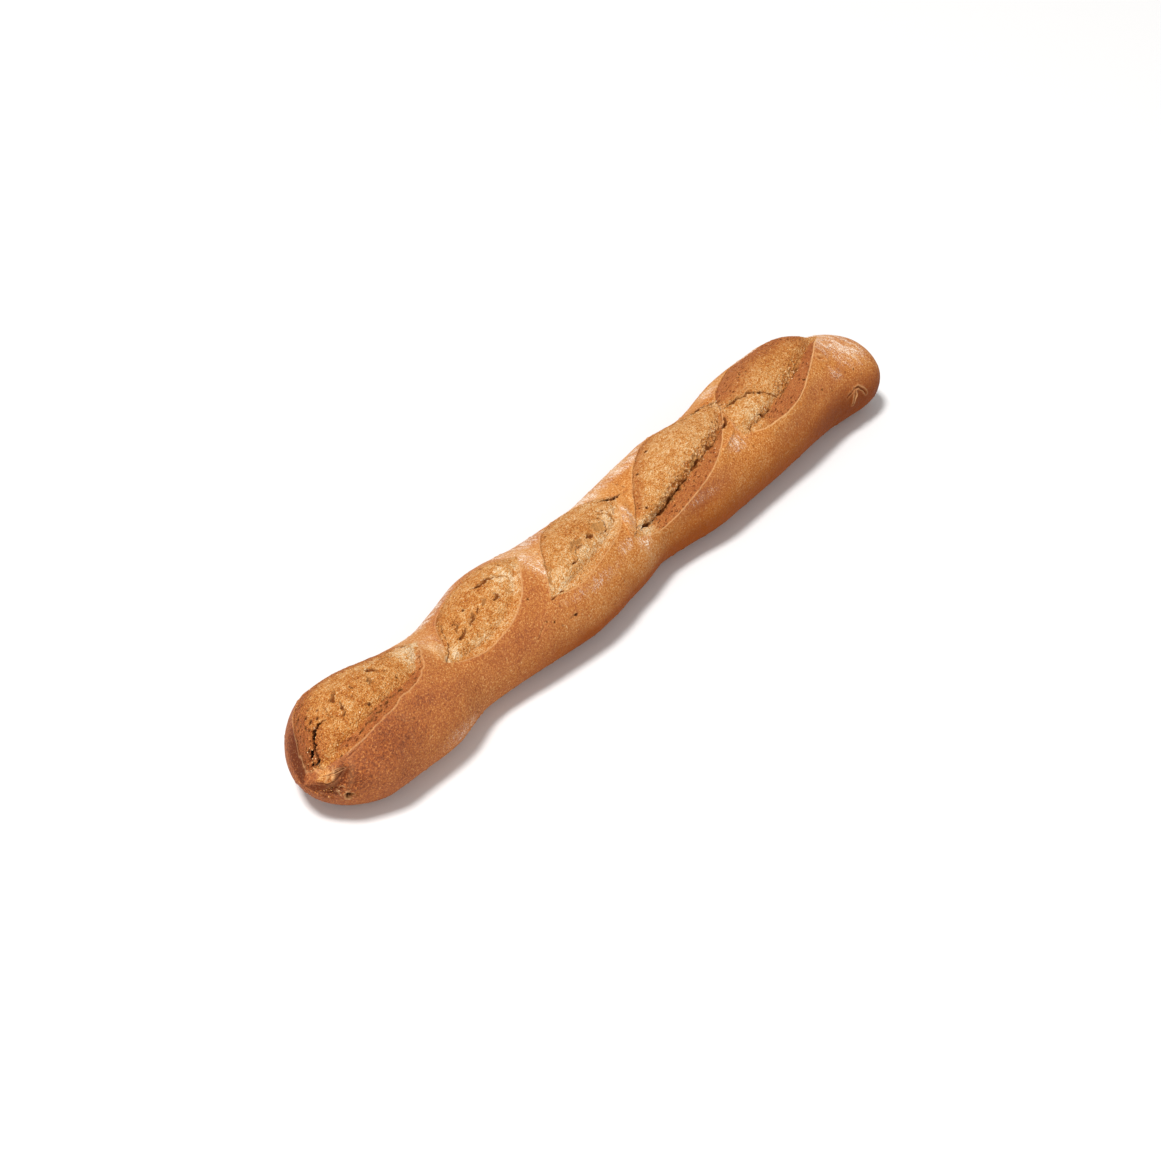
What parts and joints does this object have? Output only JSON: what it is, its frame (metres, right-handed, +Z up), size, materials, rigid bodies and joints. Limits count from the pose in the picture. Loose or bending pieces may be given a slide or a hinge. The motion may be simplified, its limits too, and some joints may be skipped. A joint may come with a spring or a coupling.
{
  "type": "baguette",
  "caption": "Long crusty bread loaf with slanting scores opened into leaf-shaped torn faces, round ends and a flat baked underside.",
  "frame": {"origin": "middle of the footprint, on the surface the loaf lies on", "axes": "+X along the loaf to its right end, +Y to its back, +Z up"},
  "size_m": [0.535, 0.0805, 0.0607],
  "materials": {
    "crust": "baked crust, matte to slightly satin, golden in the scores and red-brown on the left end"
  },
  "bodies": {
    "root": {"loaf": "crust"}
  },
  "joints": []
}
